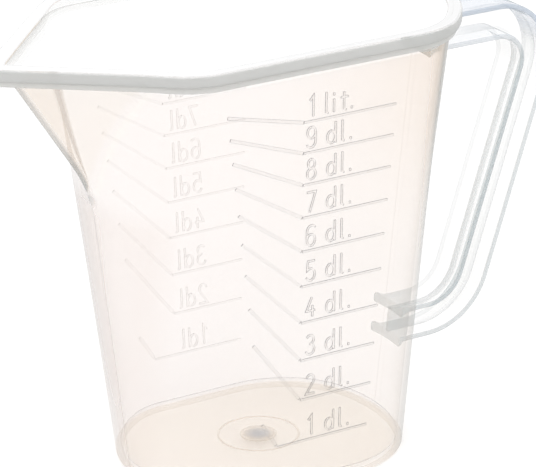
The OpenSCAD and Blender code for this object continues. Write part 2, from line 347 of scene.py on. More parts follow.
# shared by all the plastics; depths are numbers of see-through surfaces already crossed
plasticSizes = {
    "bumpDistance": 0.0002, "facingBlend": 0.5, "refraction": 1.49,
    "firstDepth": (0.0, 1.0),  # what is looked at directly
    "farDepth": (3.0, 4.0),  # what is seen through the cup
    "topFacing": (0.85, 0.97),  # how squarely the flat top of a mark faces the front or back
}


def clearPlastic(name, look):
    # see-through plastic: faint where it is looked at squarely, greyer and denser along its edges.
    # Painted values: warm picks the second colour, which on the rim is a lighter grey, painted light on
    # faces that lie in shade; thick gathers plastic, and also paints shade under the rim's flange and in
    # the boss's dish; edge weakens the darkening at the outline, which on the wall is painted shade that
    # grows towards the handle, away from the light; shown scales how much of the surface is seen, inside
    # lets it fade in the bright mouth, and bright marks the overexposed lip.
    material = bpy.data.materials.new(name)
    material.use_nodes = True
    nodes, links = material.node_tree.nodes, material.node_tree.links
    shader = nodes["Principled BSDF"]
    painted = look["painted"]

    def joined(kind, first, second):
        # a maths node fed by sockets or numbers
        node = nodes.new("ShaderNodeMath")
        node.operation = kind
        for place, given in enumerate((first, second)):
            if isinstance(given, (int, float)):
                node.inputs[place].default_value = given
            else:
                links.new(given, node.inputs[place])
        return node.outputs[0]

    def ranged(given, low, high, start, stop, soft=False):
        node = nodes.new("ShaderNodeMapRange")
        node.interpolation_type = "SMOOTHSTEP" if soft else "LINEAR"
        for key, value in (("From Min", low), ("From Max", high), ("To Min", start), ("To Max", stop)):
            node.inputs[key].default_value = value
        links.new(given, node.inputs["Value"])
        return node.outputs["Result"]

    def paintedValue(key):
        node = nodes.new("ShaderNodeAttribute")
        node.attribute_name = key
        return node.outputs["Fac"]

    def blended(amount, first, second):
        node = nodes.new("ShaderNodeMix")
        node.data_type = "RGBA"
        links.new(amount, node.inputs["Factor"])
        links.new(first, node.inputs["A"])
        node.inputs["B"].default_value = (*second, 1)
        return node.outputs["Result"]

    flow = nodes.new("ShaderNodeGroup")
    flow.node_tree = mouldedFlow
    flow.inputs["Tint"].default_value = (*look["tint"], 1)
    flow.inputs["Second Tint"].default_value = (*look["secondTint"], 1)
    flow.inputs["Flow Scale"].default_value = look["flowScale"]
    flow.inputs["Roughness"].default_value = look["roughness"]
    links.new(flow.outputs["Roughness"], shader.inputs["Roughness"])
    bump = nodes.new("ShaderNodeBump")
    bump.inputs["Strength"].default_value = look["bump"]
    bump.inputs["Distance"].default_value = plasticSizes["bumpDistance"]
    links.new(flow.outputs["Height"], bump.inputs["Height"])
    links.new(bump.outputs["Normal"], shader.inputs["Normal"])

    weight = nodes.new("ShaderNodeLayerWeight")
    weight.inputs["Blend"].default_value = plasticSizes["facingBlend"]
    mask = ranged(weight.outputs["Facing"], look["edgeFrom"], look["edgeTo"], 0.0, 1.0, True)
    if "edge" in painted:
        mask = joined("MULTIPLY", mask, paintedValue("edge"))
    if "thick" in painted:
        mask = joined("MAXIMUM", mask, paintedValue("thick"))
    path = nodes.new("ShaderNodeLightPath")
    crossed = path.outputs["Transparent Depth"]
    if "deepMask" in look:
        # seen through the cup, the plastic gathers into one grey mass
        deep = ranged(crossed, *plasticSizes["farDepth"], 0.0, look["deepMask"])
        mask = joined("MAXIMUM", mask, deep)
    colour = flow.outputs["Colour"]
    if "warm" in painted:
        colour = blended(paintedValue("warm"), colour, look["warmTint"])
    colour = blended(mask, colour, look["edgeTint"])
    if "deepMask" in look:
        colour = blended(ranged(crossed, *plasticSizes["farDepth"], 0.0, 1.0), colour, look["deepTint"])
    side = nodes.new("ShaderNodeNewGeometry")
    if "bright" in painted:
        # only where it is the first thing looked at, from its front
        first = ranged(crossed, *plasticSizes["firstDepth"], 1.0, 0.0)
        bright = joined("MULTIPLY", paintedValue("bright"), first)
        bright = joined("MULTIPLY", bright, ranged(side.outputs["Backfacing"], 0.0, 1.0, 1.0, 0.0))
        colour = blended(bright, colour, look["brightTint"])
    links.new(colour, shader.inputs["Base Color"])

    cover = ranged(mask, 0.0, 1.0, look["cover"], look["edgeCover"])
    if "shown" in painted:
        cover = joined("MULTIPLY", cover, paintedValue("shown"))
    if "deepMask" in look:
        cover = joined("MINIMUM", cover, ranged(crossed, *plasticSizes["farDepth"], 1.0, look["deepMost"]))
    backs = ranged(side.outputs["Backfacing"], 0.0, 1.0, 1.0, look["backShare"])
    cover = joined("MULTIPLY", cover, backs)
    if "topShare" in look:
        # the flat tops of the raised marks show less than their side walls
        place = nodes.new("ShaderNodeTexCoord")
        parts = nodes.new("ShaderNodeSeparateXYZ")
        links.new(place.outputs["Normal"], parts.inputs["Vector"])
        upright = joined("ABSOLUTE", parts.outputs["Y"], 0.0)
        flat = ranged(upright, *plasticSizes["topFacing"], 1.0, look["topShare"])
        cover = joined("MULTIPLY", cover, flat)
    if "mouth" in look:
        # what is seen through the bright mouth, with no near wall in front, all but vanishes
        unfaded = ranged(crossed, *look["mouth"])
        if "farShare" in look:
            farShown = ranged(crossed, *plasticSizes["farDepth"], 0.0, look["farShare"])
            unfaded = joined("MAXIMUM", unfaded, farShown)
        if "inside" in painted:
            fading = paintedValue("inside")
            if look.get("mouthBacks"):
                fading = joined("MAXIMUM", fading, side.outputs["Backfacing"])
            lost = joined("MULTIPLY", fading, joined("SUBTRACT", 1.0, unfaded))
            unfaded = joined("SUBTRACT", 1.0, lost)
        cover = joined("MULTIPLY", cover, unfaded)
    if "bright" in painted:
        cover = joined("MAXIMUM", cover, bright)
    links.new(cover, shader.inputs["Alpha"])
    shader.inputs["IOR"].default_value = plasticSizes["refraction"]
    return material


# edgeFrom and edgeTo are the facing values between which the outline darkens, cover is how much of
# the plastic is seen squarely and edgeCover at the outline, backShare scales both on back faces.
# mouth holds two depths and how much is seen at each of them, farShare is the least seen through the
# cup, and the deep values turn what is seen there into one grey mass
wallLook = {
    "tint": (0.86, 0.64, 0.54), "secondTint": (0.9, 0.69, 0.59), "warmTint": (0.82, 0.56, 0.29),
    "flowScale": 14.0, "roughness": 0.16, "bump": 0.05, "edgeTint": (0.46, 0.475, 0.465),
    "edgeFrom": 0.44, "edgeTo": 0.92, "cover": 0.22, "edgeCover": 0.7, "backShare": 0.2,
    "mouth": (1.0, 2.0, 0.03, 1.0), "mouthBacks": True, "brightTint": (1.0, 1.0, 1.0),
    "painted": ("warm", "thick", "edge", "shown", "inside", "bright"),
}
floorLook = {
    "tint": (0.93, 0.8, 0.64), "secondTint": (0.95, 0.85, 0.7),
    "flowScale": 30.0, "roughness": 0.18, "bump": 0.05, "edgeTint": (0.42, 0.46, 0.5),
    "edgeFrom": 0.9, "edgeTo": 1.0, "cover": 0.24, "edgeCover": 0.7, "backShare": 0.3,
    "warmTint": (0.78, 0.79, 0.78), "painted": ("warm", "thick", "shown"),
}
# on the rim the second colour is a lighter grey: painted light on faces that the lamps leave in shade
rimLook = {
    "tint": (0.6, 0.6, 0.585), "secondTint": (0.63, 0.635, 0.62), "warmTint": (0.72, 0.715, 0.69),
    "flowScale": 20.0, "roughness": 0.22, "bump": 0.08, "edgeTint": (0.47, 0.48, 0.47),
    "edgeFrom": 0.8, "edgeTo": 1.0, "cover": 0.9, "edgeCover": 0.95, "backShare": 0.12,
    "brightTint": (1.0, 1.0, 1.0), "mouth": (1.0, 2.0, 1.0, 0.06),
    "painted": ("warm", "thick", "edge", "shown", "inside", "bright"),
}
handleLook = {
    "tint": (0.9, 0.9, 0.88), "secondTint": (0.93, 0.93, 0.92), "warmTint": (0.62, 0.7, 0.84),
    "flowScale": 20.0, "roughness": 0.15, "bump": 0.04, "edgeTint": (0.4, 0.46, 0.485),
    "edgeFrom": 0.8, "edgeTo": 1.0, "cover": 0.1, "edgeCover": 0.52, "backShare": 0.3,
    "deepMask": 0.6, "deepTint": (0.47, 0.6, 0.65), "deepMost": 0.8, "mouth": (1.0, 2.0, 1.0, 0.06),
    "painted": ("warm", "thick", "shown", "inside"),
}
markLook = {
    "tint": (0.24, 0.24, 0.25), "secondTint": (0.28, 0.28, 0.29),
    "flowScale": 60.0, "roughness": 0.2, "bump": 0.02, "edgeTint": (0.26, 0.26, 0.27),
    "edgeFrom": 0.8, "edgeTo": 1.0, "cover": 0.76, "edgeCover": 0.8, "backShare": 0.75,
    "topShare": 0.07, "mouth": (1.0, 2.0, 1.0, 0.06), "farShare": 0.6, "painted": (),
}
levelLook = {**markLook, "topShare": 0.1, "cover": 0.85, "edgeCover": 0.9, "backShare": 0.3}
wallPlastic = clearPlastic("clearWall", wallLook)
floorPlastic = clearPlastic("clearFloor", floorLook)
flangePlastic = clearPlastic("flangePlastic", {**rimLook, "farShare": 0.6})
shoulderPlastic = clearPlastic("shoulderPlastic", rimLook)
handlePlastic = clearPlastic("handlePlastic", handleLook)
innerPlastic = clearPlastic("innerStrapPlastic", {**handleLook, "farShare": 0.8})
markPlastic = clearPlastic("raisedMarks", markLook)
levelPlastic = clearPlastic("raisedLevels", levelLook)
print("materials done")


def paintValue(piece, key, amount):
    # writes a value at each point, which the materials read
    layer = piece.data.attributes.new(key, "FLOAT", "POINT")
    layer.data.foreach_set("value", [float(amount(v.co / mm)) for v in piece.data.vertices])


# wall and spout in one skin, because the mould blends them
rows = cup["rows"]
# the rounded lip: share of the wall inwards, drop in millimetres, brightness
lipRows = ((0.25, 0.0, 1.0), (0.6, 0.0, 1.0), (0.82, 0.12, 1.0), (0.94, 0.35, 0.5), (1.0, 0.7, 0.0))
skin = [outer[j] for j in range(rows + 1)]
skin += [insetRow(rows, cup["wall"], share, drop) for share, drop, _ in lipRows]
skin += [insetRow(j, cup["wall"]) for j in range(rows - 1, -1, -1)]
skin = np.array(skin)

# what is painted on the wall: distances, heights and widths in millimetres, the rest are shares
wallPaint = {
    # a dark keel, paler in one stripe, stronger below, with a blob at the apex
    "keelHalf": 1.5, "keelFade": 1.7, "keel": 0.84, "keelLow": 0.25, "keelGap": 0.2, "keelGapAt": 0.7,
    "keelGapWidth": 0.35, "apexBlob": 2.6, "lowOver": 25.0, "lowRun": 20.0,
    # the mould's parting line at both ends
    "partingWidth": 0.5, "parting": 0.55, "partingRight": 0.3,
    # the joint between spout and wall, outside and inside
    "jointRun": 2.0, "outerFillet": 1.5, "outerShift": 3.6, "outerFade": 0.22,
    "filletLine": 0.12, "filletLineAt": 1.3, "filletLineWidth": 0.4,
    "innerFillet": 1.5, "innerSpread": 2.2, "innerRise": 15.0, "inner": 0.75, "innerWall": 0.35,
    "innerNear": 0.5, "innerFade": 0.25, "innerShown": 0.1, "innerDense": 1.4, "innerOutlineShade": 0.6,
    "spoutShown": 1.15, "spoutWarm": 0.65, "spoutInner": 0.65, "spoutInnerLow": 0.6,
    # the wall behind the rim is hidden by it
    "rimHidden": 6.4, "rimShown": 0.1,
    # from spout to handle: warmer, and darker along its outline; the darker outline is painted shade,
    # weakest at the spout end, where the light falls
    "warmLeft": 0.05, "warmRight": 0.6, "edgeLeft": 0.45, "edgeRight": 0.88,
    "edgeStart": -25.0, "edgeRun": 65.0,
    # denser towards the handle, most of all high up, and at the spout's end below the apex
    "denseRight": 0.3, "denseHigh": 0.5, "denseFrom": 90.0, "denseRun": 60.0,
    "denseLeft": 0.5, "denseLeftX": -46.0, "denseLeftRun": 6.0, "belowOver": 2.0, "belowRun": 8.0,
    # thinner and less warm low down
    "thinTop": 120.0, "thinRun": 60.0, "thin": 0.4, "thinLeft": 0.4, "thinWarm": 0.35,
}
halfCount = len(halfTurns)


def junctionTurn(j):
    # where the spout's face runs into the wall on this row, or None below the spout
    row = crease[j, :halfCount]
    inside = np.nonzero(row > 0)[0]
    if len(inside) == 0 or inside[0] == 0:
        return None
    k = inside[0]
    return halfTurns[k - 1] + (halfTurns[k] - halfTurns[k - 1]) * row[k - 1] / (row[k - 1] - row[k])


junctions = [junctionTurn(j) for j in range(rows + 1)]


def paintWall(i, j):
    isOuter = j <= rows
    onLip = rows < j <= rows + len(lipRows)
    # an inner row is painted by the outer row that it was moved in from
    row = j if isOuter else (rows if onLip else 2 * rows + len(lipRows) - j)
    turn = columnTurns[i][0]
    x, y, z = outer[row, i]
    junction = junctions[row]
    # beside is the distance to the joint, far off where there is none
    onSpout, beside = 0.0, 1e3
    if junction is not None:
        reach = math.hypot(x - cup["rayCentre"], y)
        beside = abs(turn - junction) * reach
        onSpout = clamped((junction - turn) * reach / wallPaint["jointRun"] + 0.5)
    low = clamped((spout["apex"] + wallPaint["lowOver"] - z) / wallPaint["lowRun"])
    keel = clamped((wallPaint["keelHalf"] + wallPaint["keelFade"] - abs(y)) / wallPaint["keelFade"])
    keelGap = wallPaint["keelGap"] * bell(
        abs(y) - wallPaint["keelGapAt"] * wallPaint["keelHalf"], wallPaint["keelGapWidth"])
    keel *= (wallPaint["keel"] + (1 - wallPaint["keel"]) * low) * (1 - keelGap) * onSpout
    parting = wallPaint["parting" if x < 0 else "partingRight"] * bell(y, wallPaint["partingWidth"])
    parting *= 1 - onSpout
    along = clamped((x - wallPaint["edgeStart"]) / wallPaint["edgeRun"])
    lower = clamped((wallPaint["thinTop"] - z) / wallPaint["thinRun"])
    warm = wallPaint["warmLeft"] + (wallPaint["warmRight"] - wallPaint["warmLeft"]) * along
    warm *= 1 - wallPaint["thinWarm"] * lower
    hidden = wallPaint["rimShown"] if tops[i] - z < wallPaint["rimHidden"] else 1.0
    if isOuter:
        apexX = -cup["spoutEnd"] - spout["apex"] * slope(cup["spoutLean"])
        blob = bell(math.dist((x, y, z), (apexX, 0, spout["apex"])), wallPaint["apexBlob"])
        apart = beside * (1 if junction is not None and turn > junction else -1) - wallPaint["outerShift"]
        soft = bell(apart, wallPaint["outerFillet"])
        filletLine = wallPaint["filletLine"] * bell(
            apart + wallPaint["filletLineAt"] * wallPaint["outerFillet"], wallPaint["filletLineWidth"])
        # painted shade: the outline darkens more towards the handle, away from the light
        edge = wallPaint["edgeLeft"] + (wallPaint["edgeRight"] - wallPaint["edgeLeft"]) * along
        high = clamped((z - wallPaint["denseFrom"]) / wallPaint["denseRun"])
        below = clamped((spout["apex"] + wallPaint["belowOver"] - z) / wallPaint["belowRun"])
        leftEnd = clamped((wallPaint["denseLeftX"] - x) / wallPaint["denseLeftRun"])
        shown = 1 - wallPaint["thin"] * lower * (wallPaint["thinLeft"] + (1 - wallPaint["thinLeft"]) * along)
        shown += (wallPaint["denseRight"] + wallPaint["denseHigh"] * high) * along ** 2
        shown += (wallPaint["spoutShown"] - 1) * onSpout + wallPaint["keelLow"] * keel * low
        shown += wallPaint["denseLeft"] * leftEnd * below
        return {"warm": max(warm, wallPaint["spoutWarm"] * onSpout, soft),
                "thick": max(keel, blob, parting, filletLine), "edge": edge * (1 - onSpout),
                "shown": hidden * shown * (1 - wallPaint["outerFade"] * soft),
                "inside": 0.0, "bright": 1.0 if j == rows else 0.0}
    band = wallPaint["innerWall"] * bell(beside, wallPaint["innerFillet"])
    if junction is not None and turn < junction:
        # the blend into the spout gathers plastic in a strip that widens upwards
        rise = max(z - spout["apex"], 0.0) / (cup["height"] - spout["apex"])
        part = beside / (wallPaint["innerSpread"] + wallPaint["innerRise"] * rise)
        nearer = wallPaint["innerNear"] + (1 - wallPaint["innerNear"]) * min(2 * part, 1.0)
        band = wallPaint["inner"] * nearer * clamped((1 - part) / wallPaint["innerFade"])
    onFace = wallPaint["spoutInner"] * onSpout * (1 - wallPaint["spoutInnerLow"] * low)
    # inside too, the outline's painted shade grows towards the handle
    return {"warm": max(warm, onSpout) * (1 - band), "thick": max(band, parting),
            "edge": wallPaint["innerOutlineShade"] * along * (1 - onSpout),
            "shown": hidden * max(band * wallPaint["innerDense"], wallPaint["innerShown"], onFace, parting),
            "inside": 1.0, "bright": lipRows[j - rows - 1][2] if onLip else 0.0}


bm = gridPiece(columns, len(skin), lambda i, j: skin[j, i], True, True, paintWall)
finishPiece("cupWall", bm, wallPlastic, ("cup_wall", "pouring_spout"))

# floor: a panel with a soft fillet up to the wall
floorSizes = {"fillet": 1.0, "filletSteps": 6, "rings": 14, "lineDrop": 0.5, "gap": 0.02, "sideGap": 0.05}
floorPaint = {"line": 0.95, "lineWidth": 0.25, "greyRun": 0.3, "side": 0.3, "fillet": 0.45}
low, high = cup["foot"] + floorSizes["gap"], cup["floor"]
filletTop = high + floorSizes["fillet"]
sideInset = cup["wall"] + floorSizes["sideGap"]
floorRows = [levelRow(level, sideInset) for level in (low, filletTop - floorSizes["lineDrop"])]
for k in range(floorSizes["filletSteps"] + 1):
    a = math.radians(90 * k / floorSizes["filletSteps"])
    r = floorSizes["fillet"]
    floorRows.append(levelRow(filletTop - r * math.sin(a), sideInset + r - r * math.cos(a)))
middle = floorRows[-1].copy()
under = floorRows[0].copy()
for k in range(1, floorSizes["rings"] + 1):
    row = middle * (1 - k / floorSizes["rings"])
    row[:, 2] = high
    floorRows.append(row)
for k in range(floorSizes["rings"], 0, -1):
    row = under * (1 - k / floorSizes["rings"])
    row[:, 2] = low
    floorRows.append(row)
floorRows = np.array(floorRows)


def paintFloor(i, j):
    # a fine grey line along the fillet's top, and little else of the fillet and the outer side
    z = floorRows[j, i, 2]
    onFillet = 2 < j < 2 + floorSizes["filletSteps"]
    return {"thick": floorPaint["line"] * bell(z - filletTop, floorPaint["lineWidth"]),
            "shown": floorPaint["side"] if j < 2 else (floorPaint["fillet"] if onFillet else 1.0),
            "warm": clamped((z - high) / floorPaint["greyRun"])}


bm = gridPiece(columns, len(floorRows), lambda i, j: floorRows[j, i], True, True, paintFloor)
finishPiece("floorPanel", bm, floorPlastic, ("floor_panel",))

# standing ring, rounded on its outside edge
footSizes = {"width": 2.6, "round": 0.7, "roundSteps": 3, "innerRun": 0.3, "innerRise": 0.15,
             "thick": 0.15, "shown": 0.65}
top, r, w = cup["foot"] - floorSizes["gap"], footSizes["round"], footSizes["width"]
footRows = [levelRow(top, 0.0), levelRow(r, 0.0)]
for k in range(1, footSizes["roundSteps"] + 1):
    a = math.radians(90 * k / footSizes["roundSteps"])
    footRows.append(levelRow(r - r * math.sin(a), r - r * math.cos(a)))
footRows += [levelRow(0.0, w - footSizes["innerRun"]), levelRow(footSizes["innerRise"], w), levelRow(top, w)]
footRows = np.array(footRows)
bm = gridPiece(columns, len(footRows), lambda i, j: footRows[j, i], True, True)
footRing = finishPiece("footRing", bm, floorPlastic, ("foot_ring",))
paintValue(footRing, "thick", lambda p: footSizes["thick"])
paintValue(footRing, "shown", lambda p: footSizes["shown"])
paintValue(footRing, "warm", lambda p: 0.0)


def spunPiece(name, profile, steps, finish, replaced, thick):
    # a round piece: its profile spun once about the Z axis
    bm = bmesh.new()
    points = [bm.verts.new(Vector((x, 0, z)) * mm) for x, z in profile]
    edges = [bm.edges.new((points[k], points[(k + 1) % len(points)])) for k in range(len(points))]
    bmesh.ops.spin(bm, geom=points + edges, axis=(0, 0, 1), cent=(0, 0, 0), angle=math.tau,
                   steps=steps, use_merge=True, use_duplicate=False)
    bmesh.ops.remove_doubles(bm, verts=bm.verts, dist=mergeDistance)
    bmesh.ops.dissolve_degenerate(bm, edges=bm.edges, dist=mergeDistance / 2)
    piece = finishPiece(name, bm, finish, replaced)
    paintValue(piece, "thick", thick)
    paintValue(piece, "shown", lambda p: 1.0)
    paintValue(piece, "warm", lambda p: 0.0)


# the boss at the injection point, hollowed on top, and the circle round it
gate = {
    "boss": 6.2, "bossRise": 0.4, "edgeRun": 0.2, "edgeDrop": 0.15, "bossSteps": 72,
    "dish": ((4.6, 0.0), (3.2, 0.12), (1.4, 0.3), (0.0, 0.34)),  # radius and depth
    "ring": 13.6, "ringWidth": 0.6, "ringTopWidth": 0.3, "ringRise": 0.4, "ringSteps": 96,
    # the boss gets a grey line round its edge and painted shade in its dish
    "edgeThick": 0.2, "edgeThickWidth": 0.4, "dishShadeRadius": 4.6, "ringThick": 0.2,
}
base = cup["floor"] + floorSizes["gap"]
bossTop = base + gate["bossRise"]


# a grey line round the boss's edge, and painted shade in the hollow of its dish, darkest in the middle
def paintBoss(p):
    out = math.hypot(p.x, p.y)
    edge = gate["edgeThick"] * bell(out - gate["boss"], gate["edgeThickWidth"])
    return max(edge, math.exp(-(out / gate["dishShadeRadius"]) ** 4))


spunPiece("gateBoss", [
    (0, base), (gate["boss"], base), (gate["boss"], bossTop - gate["edgeDrop"]),
    (gate["boss"] - gate["edgeRun"], bossTop), *((r, bossTop - depth) for r, depth in gate["dish"])],
    gate["bossSteps"], floorPlastic, ("gate_boss",), paintBoss)
ringTop = base + gate["ringRise"]
spunPiece("gateRing", [
    (gate["ring"] - gate["ringWidth"] / 2, base), (gate["ring"] + gate["ringWidth"] / 2, base),
    (gate["ring"] + gate["ringTopWidth"] / 2, ringTop), (gate["ring"] - gate["ringTopWidth"] / 2, ringTop)],
    gate["ringSteps"], floorPlastic, ("gate_ring",), lambda p: gate["ringThick"])

# rim: a flange with a smaller shoulder under it
rimSizes = {
    "out": 2.8, "tall": 4.2, "round": 0.9, "gap": 0.03,
    "shoulderOut": 1.4, "shoulderTall": 2.0, "shoulderRound": 0.35,
    "fadeLeft": -80.0, "fadeRight": 42.0, "fadeRun": 12.0,
}
# painted along the profile, from the inner top edge over the outside to the inner bottom edge; on the
# flange, thick paints a faint shade line where the lower rounding starts, and warm paints light on the
# underside, which lies in shade
flangePaint = {
    "shown": (0.05, 0.05, 0.2, 0.75, 1, 1, 1, 1, 0.9, 0.2), "thick": (0, 0, 0, 0, 0, 0.06, 0.1, 0, 0, 0),
    "edge": (0, 0, 0, 0.3, 1, 1, 1, 1, 1, 0), "warm": (0, 0, 0, 0, 0, 0, 0.2, 0.7, 1, 1),
    "bright": (1, 1, 0.5, 0.1, 0, 0, 0, 0, 0, 0),
}
# on the shoulder, warm paints light: a lighter grey over faces that lie in shade below the flange
shoulderPaint = {
    "shown": (0.2, 0.6, 1, 1, 1, 1, 1, 1, 0.9, 0.2), "thick": (0,) * 10,
    "edge": (0, 1, 1, 1, 1, 1, 1, 1, 1, 0), "warm": (1, 1, 0.8, 0.7, 0.8, 1, 1, 1, 1, 1),
    "bright": (0,) * 10,
}
rimLine = ringAt(cup["height"])
rimNormal = ringNormals(rimLine)


def rimRow(out, depth):
    # a row of the rim, a distance out from the wall and down from the rim's top
    if out <= rimSizes["gap"]:
        return ringAt(tops - depth) + rimNormal * rimSizes["gap"]
    row = rimLine + rimNormal * out
    row[:, 2] = tops - depth
    return row


def rimPiece(name, profile, finish, replaced, values):
    table = np.array([rimRow(out, depth) for out, depth in profile])

    def paintRim(i, j):
        # both ends of the rim fade where they are seen from inside the bright mouth
        x = rimLine[i, 0]
        ends = max(x - rimSizes["fadeRight"], rimSizes["fadeLeft"] - x) / rimSizes["fadeRun"]
        return {"inside": clamped(ends), **{key: float(values[key][j]) for key in values}}

    bm = gridPiece(columns, len(table), lambda i, j: table[j, i], True, True, paintRim)
    finishPiece(name, bm, finish, replaced)


def roundedStep(out, top, bottom, r):
    # profile of a step of the rim: distances out from the wall and depths under the rim's top
    turns = [math.radians(a) for a in (0, 30, 60, 90)]
    upper = [(out - r + r * math.sin(a), top + r - r * math.cos(a)) for a in turns]
    lower = [(out - r + r * math.cos(a), bottom - r + r * math.sin(a)) for a in turns]
    return [(0, top)] + upper + lower + [(0, bottom)]


tall = rimSizes["tall"]
flangeProfile = roundedStep(rimSizes["out"], 0, tall, rimSizes["round"])
shoulderProfile = roundedStep(rimSizes["shoulderOut"], tall + rimSizes["gap"],
                              tall + rimSizes["shoulderTall"], rimSizes["shoulderRound"])
rimPiece("rimFlange", flangeProfile, flangePlastic, ("rim_flange",), flangePaint)
rimPiece("rimShoulder", shoulderProfile, shoulderPlastic, ("rim_shoulder",), shoulderPaint)

# handle: two straps and a web, as an I section
handle = {
    "top": 128.8,
    "bottom": 38.0,
    "reach": 91.7,
    "lean": 19.0,
    "upperBend": 9.2,
    "lowerBend": 14.0,
    "gap": 10.4,
    "width": 15.0,
    "thick": 1.8,
    "web": 1.8,
    "edgeRound": 0.55,
    "webRound": 0.1,
    "rootGap": 0.03,
    "flare": 1.6,
    "flareRun": 3.0,
    "flareRiseShare": 0.5,
    "bendSteps": 22,
    "gripPoints": 14,
    "armShares": (0, 0.02, 0.05, 0.1, 0.2, 0.4, 0.6, 0.8),
    "endShares": (0.3, 0.6, 0.8, 0.9, 0.96, 1.0),
    "endLeast": 0.5,
    "wideOver": 2.0,  # sides of the section longer than this are divided
    "wideSteps": 8,
    "tallOver": 1.0,
    "tallSteps": 12,
}
# what is painted on the handle: lengths in millimetres, bendAt and bendSpread in points along the path
handlePaint = {
    "root": 0.25, "rootRun": 1.2, "strapRail": 0.9, "railWidth": 0.5,
    "webRail": 0.7, "webTop": 0.3, "webFoot": 1.1, "upperRun": 8.0, "upperRailLess": 0.6,
    "mouthX": 86.0, "mouthRun": 6.0, "bend": 0.22, "bendAt": 25, "bendSpread": 5,
}


def handleFace(y, level):
    # x of the cup's handle end at a width and height
    bow = cup["handleBow"]
    return cup["handleEnd"] + level * slope(cup["handleLean"]) - bow + math.sqrt(bow * bow - y * y)


def handlePath(out):
    # points of the handle's line, a distance out from the inner strap
    lean = math.radians(handle["lean"])
    upper = Vector((handle["reach"], handle["top"] - handle["upperBend"]))
    extra = handle["lowerBend"] - handle["upperBend"]
    run = (upper.y + extra * math.sin(lean) - handle["bottom"] - handle["lowerBend"]) / math.cos(lean)
    lower = upper - extra * Vector((math.cos(lean), -math.sin(lean)))
    lower -= run * Vector((math.sin(lean), math.cos(lean)))
    r1, r2 = handle["upperBend"] + out, handle["lowerBend"] + out
    start, end = Vector((0, handle["top"] + out)), Vector((0, handle["bottom"] - out))
    start.x, end.x = handleFace(0, start.y), handleFace(0, end.y)
    bend1 = [Vector(p) for p in arcPoints(upper, r1, math.pi / 2, -lean, handle["bendSteps"])]
    bend2 = [Vector(p) for p in arcPoints(lower, r2, -lean, -math.pi / 2, handle["bendSteps"])]
    arm1 = [start.lerp(bend1[0], s) for s in handle["armShares"]]
    grip = [bend1[-1].lerp(bend2[0], s) for s in np.linspace(0, 1, handle["gripPoints"])[1:-1]]
    arm2 = [end]
    if bend2[-1].x > end.x + handle["endLeast"]:
        arm2 = [bend2[-1].lerp(end, s) for s in handle["endShares"]]
    return arm1 + bend1 + grip + bend2 + arm2


